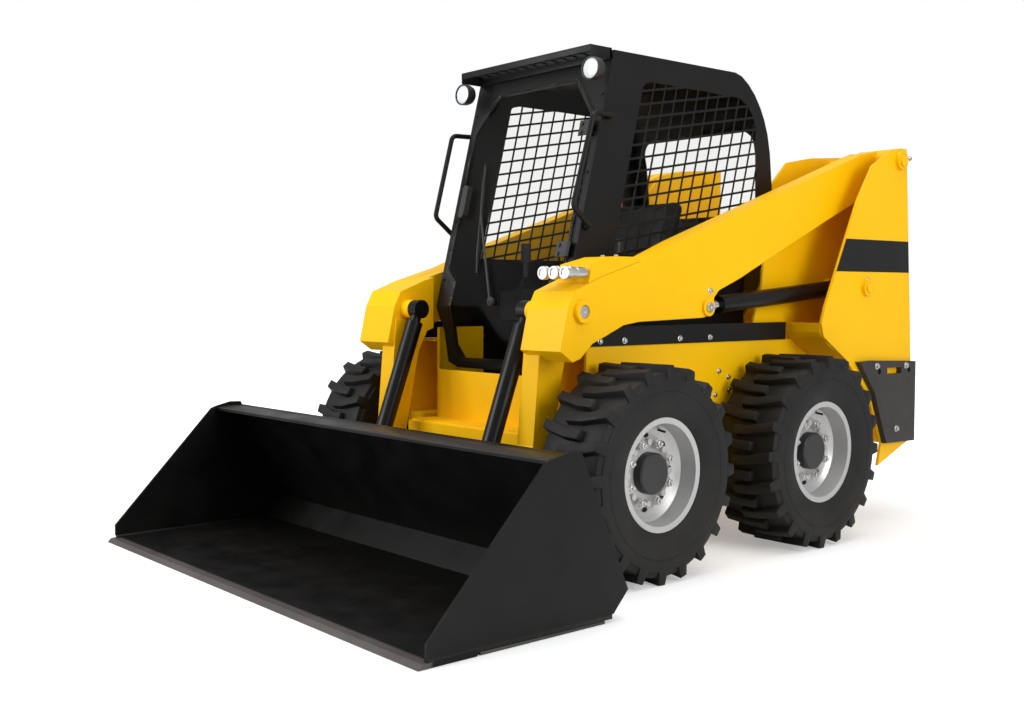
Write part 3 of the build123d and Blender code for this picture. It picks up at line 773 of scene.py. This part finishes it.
def make_pins():
    """The pin ends that show on the outer faces of the lift arms."""
    arm_pins = both_sides([(spot(ARM_FACE + 10, 16, 1058), (1, 0, 0))])
    head_pins = both_sides([(spot(ARM_FACE + 4.2, -757, 1046), (1, 0, 0))])
    pins = joined([set_round(pin_head(21, 9), arm_pins), set_round(pin_head(25, 11), head_pins)])
    fasten(pins, "arm_pin_heads", "lift_arms", zinc)


def make_side_bolts():
    """The bolts on the arms, the steps, the towers, the weights and the frame."""
    step_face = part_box("side_steps")[1][0] * 1000
    side_bolts("arm_keeper_bolts", "lift_arms", 11, ARM_FACE, [(30, 1127)])
    side_bolts("step_bolts", "chassis", 10, step_face, [(-569, 926), (-422, 925), (-69, 926), (136, 926)])
    side_bolts("tower_keeper_bolts", "chassis", 9, TOWER_FACE, [(1430, 1770), (1085, 1182)])
    side_bolts("weight_bolts", "chassis", 12, WEIGHT_FACE, [(1145, 773), (1410, 767), (1337, 462)])
    side_bolts("frame_bolts", "chassis", 9, FRAME_FACE, [(211, 776), (280, 748), (188, 672), (285, 690)])


def make_post_bolts():
    """Small bolts down both front posts."""
    places = [(on_front(POST_X, z, 0.2), FRONT_LEAN) for z in POST_BOLT_HEIGHTS]
    bolts = set_round(bolt(0.0065), both_sides(places))
    fasten(bolts, "post_bolts", "chassis", cab_black)


# hydraulic couplers

COUPLER_X = (500.0, 558.0, 616.0)
COUPLER_Y = -711.6
COUPLER_Z = 1196.0
COUPLER_STRETCH = 1.12
COUPLER_WIDEN = 1.28
COVER_TOP = 1262.2
COVER_BOLTS = ((530, -520), (600, -520))
COUPLER = [(0, 0), (0, 12), (8, 12), (8, 15), (24, 15), (26, 17), (50, 17), (52, 14.5), (58, 14.5),
           (60, 17), (84, 17), (86, 20.8), (92, 21), (93.5, 19.6), (95, 21), (96.5, 19.6), (98, 21),
           (106, 20.4), (107.3, 19), (107.3, 14), (103, 13), (103, 0)]


def make_couplers():
    """Flat-faced couplings with a grooved sleeve and a recessed face, and the cover's bolts."""
    profile = in_metres([(x * COUPLER_STRETCH, r * COUPLER_WIDEN) for x, r in COUPLER])
    places = [(spot(x, COUPLER_Y, COUPLER_Z), (0, -1, 0)) for x in COUPLER_X]
    made = set_round(turned(profile, 36), places)
    fasten(made, "quick_couplers", "lift_arms", zinc, 30)
    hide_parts("couplers")
    tops = [(spot(x, y, COVER_TOP), (0, 0, 1)) for x, y in COVER_BOLTS]
    bolts = set_round(bolt(0.009), tops)
    fasten(bolts, "cover_bolts", "lift_arms", zinc)


# bucket

LIP_HALF = 1087
LIP_SECTION = [(-1383, 573.4), (-1290, 581.4), (-1290, 585.4), (-1383, 577.4)]


def make_bucket_details():
    """The welds along the cheeks' feet, the wear shoes under them and the cheeks' bolts."""
    seam = with_twin(block((1078, -1902, 12), (1099.6, -1084, 31), 0.004))
    fasten(seam, "cheek_seams", "bucket", weld_black)
    shoe = with_twin(block((1052, -1690, 0.6), (1098, -1120, 11.5), 0.003))
    fasten(shoe, "wear_shoes", "bucket", edge_steel)
    side_bolts("cheek_bolts", "bucket", 9, CHEEK_FACE, [(-1267, 465), (-1160, 70)], bucket_black)


def make_lip_reflection():
    """A lighter strip along the bucket's top edge, a painted reflection."""
    lip = side_plate(LIP_SECTION, -LIP_HALF, 2 * LIP_HALF, 0.001)
    fasten(lip, "painted_top_lip_reflection", "bucket", lip_reflection_paint)


# seat

CUSHION_EDGE = 0.035
VOXEL = 0.008
PRESSURE = 4.0
LAST_MOMENT = 15
MOST_RISE = 0.012


def inflate(form):
    """Blow a closed form up as cloth, by MOST_RISE at most, and smooth it."""
    start = [v.co.copy() for v in form.data.vertices]
    only(form)
    cloth = form.modifiers.new("cloth", "CLOTH")
    cloth.settings.use_pressure = True
    cloth.settings.uniform_pressure_force = PRESSURE
    cloth.settings.effector_weights.gravity = 0.0
    scene = bpy.context.scene
    for moment in range(1, LAST_MOMENT + 1):
        scene.frame_set(moment)
    bpy.ops.object.modifier_apply(modifier=cloth.name)
    scene.frame_set(1)
    for corner, first in zip(form.data.vertices, start):
        moved = corner.co - first
        if moved.length > MOST_RISE:
            corner.co = first + moved.normalized() * MOST_RISE
    carve(form, "SMOOTH", factor=0.5, iterations=3)


def stuffed(low, high, name, tilt=0.0):
    """A cushion inflated from a rounded box, which may lean about its foot."""
    form = block(low, high, CUSHION_EDGE, 4)
    if tilt:
        foot = spot(0, (low[1] + high[1]) / 2, low[2])
        lean = Matrix.Rotation(math.radians(tilt), 4, "X")
        form.data.transform(Matrix.Translation(foot) @ lean @ Matrix.Translation(-foot))
    carve(form, "REMESH", mode="VOXEL", voxel_size=VOXEL)
    inflate(form)
    fasten(form, name, "chassis", vinyl, 40)
    return form


def make_seat():
    """The seat's cushion and its backrest."""
    base = stuffed((-222, -108, 1013), (222, 318, 1098), "seat_cushion")
    rest = stuffed((-218, 262, 1122), (218, 340, 1560), "seat_backrest", -10)
    for cushion in (base, rest):
        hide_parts("seat")


# cab trim

BOOT_FOLDS = 5


def on_glass(x, z, out):
    """A place in front of the door's glass."""
    return on_front(x, z, GLASS_STEP + out)


def make_wiper():
    """The arm from its hub to the blade, with the blade's spine."""
    arm = rod_between(on_glass(-21, 1080, 12), on_glass(-190, 1470, 14), 0.0055, 12)
    hub = turned(in_metres([(0, 0), (0, 22), (12, 20), (18, 12), (18, 0)]), 24)
    hub.data.transform(facing(on_glass(-21, 1080, 0.6), FRONT_LEAN))
    blade = rod_between(on_glass(-150, 1210, 7), on_glass(-232, 1700, 7), 0.0048, 8)
    spine = rod_between(on_glass(-158, 1260, 13), on_glass(-222, 1640, 13), 0.0042, 8)
    wiper = joined([arm, hub, blade, spine])
    fasten(wiper, "wiper", "door", plastic)


def make_boots():
    """Folded boots round the feet of both control levers."""
    folds = [(0, 0), (0, 48)]
    for k in range(BOOT_FOLDS):
        folds += [(6 + 11 * k, 46 - 6 * k), (11 + 11 * k, 38 - 6 * k)]
    folds += [(62, 14), (62, 0)]
    feet = both_sides([(spot(297, -130, 1130.4), (0, 0, 1))])
    boots = set_round(turned(in_metres(folds), 28), feet)
    fasten(boots, "lever_boots", "chassis", boot_rubber, 30)


# making the pieces

make_tyres()
make_wheel_nuts()
make_lamps()
make_visor()
make_bands()
make_pins()
make_side_bolts()
make_post_bolts()
make_couplers()
make_bucket_details()
make_lip_reflection()
make_rim_painted_hole_shade()
make_seat()
make_wiper()
make_boots()

# stage, light and camera


def floor_finish():
    """A pale floor that reads as white where it is lit and keeps the shadow; its glow to the camera is
    weaker near the machine, which paints shade on the floor round it.
    """
    made, tree = new_material("studio floor")
    tree.nodes.clear()
    place = object_place(tree)
    clouds = use(tree, MOTTLE, place, Scale=0.6)
    tone = mixed(tree, clouds.outputs[0], (0.86, 0.86, 0.86), (0.84, 0.84, 0.84))
    lit = add_node(tree, "ShaderNodeBsdfDiffuse")
    glow = add_node(tree, "ShaderNodeEmission")
    path = add_node(tree, "ShaderNodeLightPath")
    strength = add_node(tree, "ShaderNodeMath", operation="MULTIPLY")
    reach = add_node(tree, "ShaderNodeVectorMath", operation="LENGTH")
    # The glow to the camera falls to about a third within 1.6 m of the floor's middle: painted shade on the
    # floor round the machine.
    limits = {"From Min": 1.6, "From Max": 5.0, "To Min": 0.32, "To Max": 1.0}
    painted_shade_near_machine = add_node(tree, "ShaderNodeMapRange", limits, interpolation_type="SMOOTHSTEP")
    total = add_node(tree, "ShaderNodeAddShader")
    end = add_node(tree, "ShaderNodeOutputMaterial")
    join = tree.links.new
    join(tone, lit.inputs["Color"])
    join(place, reach.inputs[0])
    join(reach.outputs["Value"], painted_shade_near_machine.inputs["Value"])
    join(path.outputs["Is Camera Ray"], strength.inputs[0])
    join(painted_shade_near_machine.outputs["Result"], strength.inputs[1])
    join(strength.outputs[0], glow.inputs["Strength"])
    join(lit.outputs[0], total.inputs[0])
    join(glow.outputs[0], total.inputs[1])
    join(total.outputs[0], end.inputs["Surface"])
    return made


def make_world():
    """White to the camera and through glass, and a soft cool light to everything else."""
    world = bpy.data.worlds.new("studio")
    bpy.context.scene.world = world
    world.use_nodes = True
    sky = world.node_tree
    sky.nodes.clear()
    path = add_node(sky, "ShaderNodeLightPath")
    seen = add_node(sky, "ShaderNodeMath", operation="MAXIMUM")
    white = add_node(sky, "ShaderNodeBackground", {"Color": (1, 1, 1, 1)})
    soft = add_node(sky, "ShaderNodeBackground", {"Color": (0.95, 0.97, 1.0, 1), "Strength": 0.45})
    choice = add_node(sky, "ShaderNodeMixShader")
    end = add_node(sky, "ShaderNodeOutputWorld")
    join = sky.links.new
    join(path.outputs["Is Camera Ray"], seen.inputs[0])
    join(path.outputs["Is Transmission Ray"], seen.inputs[1])
    join(seen.outputs[0], choice.inputs[0])
    join(soft.outputs[0], choice.inputs[1])
    join(white.outputs[0], choice.inputs[2])
    join(choice.outputs[0], end.inputs["Surface"])


def softbox(name, place, aim, side, power):
    """A square lamp at a place, facing what it lights."""
    light = bpy.data.lights.new(name, "AREA")
    light.shape = "RECTANGLE"
    light.size = side
    light.size_y = side
    light.energy = power
    holder = bpy.data.objects.new(name, light)
    bpy.context.collection.objects.link(holder)
    holder.location = place
    holder.rotation_mode = "QUATERNION"
    holder.rotation_quaternion = (Vector(aim) - Vector(place)).to_track_quat("-Z", "Y")


# The camera is the photograph's, solved with the rims as scale; the shift is in its pixels.
PHOTO_WIDTH = 1024
CAMERA_PLACE = (3653.24, -4036.05, 1114.02)
CAMERA_TURN = math.radians(53.4751)
CAMERA_DIP = math.radians(3.8708)
SENSOR_WIDTH = 36.0
LENS_LENGTH = 40.09
SHIFT_X = 150.0
SHIFT_Y = 9.24


def make_camera():
    """The camera at the photograph's viewing angle."""
    optics = bpy.data.cameras.new("camera")
    camera = bpy.data.objects.new("camera", optics)
    bpy.context.collection.objects.link(camera)
    bpy.context.scene.camera = camera
    level = math.cos(CAMERA_DIP)
    looking = Vector((-math.sin(CAMERA_TURN) * level, math.cos(CAMERA_TURN) * level, -math.sin(CAMERA_DIP)))
    camera.location = spot(*CAMERA_PLACE)
    camera.rotation_mode = "QUATERNION"
    camera.rotation_quaternion = looking.to_track_quat("-Z", "Y")
    optics.sensor_width = SENSOR_WIDTH
    optics.lens = LENS_LENGTH
    optics.shift_x = SHIFT_X / PHOTO_WIDTH
    optics.shift_y = SHIFT_Y / PHOTO_WIDTH
    optics.clip_start = 0.05
    optics.clip_end = 100


deselect()
bpy.ops.mesh.primitive_plane_add(size=60, location=(0, 0, 0))
floor = bpy.context.object
floor.name = "studio_floor"
floor.data.materials.append(floor_finish())
make_world()
softbox("overhead", (0.5, -0.5, 6.0), (0, 0, 0.5), 6, 260)
softbox("front_left", (-3.0, -6.5, 3.2), (0, 0, 0.8), 4, 300)
softbox("right_side", (7.0, 0.5, 3.0), (0, 0, 0.8), 4, 210)
make_camera()

view = bpy.context.scene.view_settings
view.view_transform = "Standard"
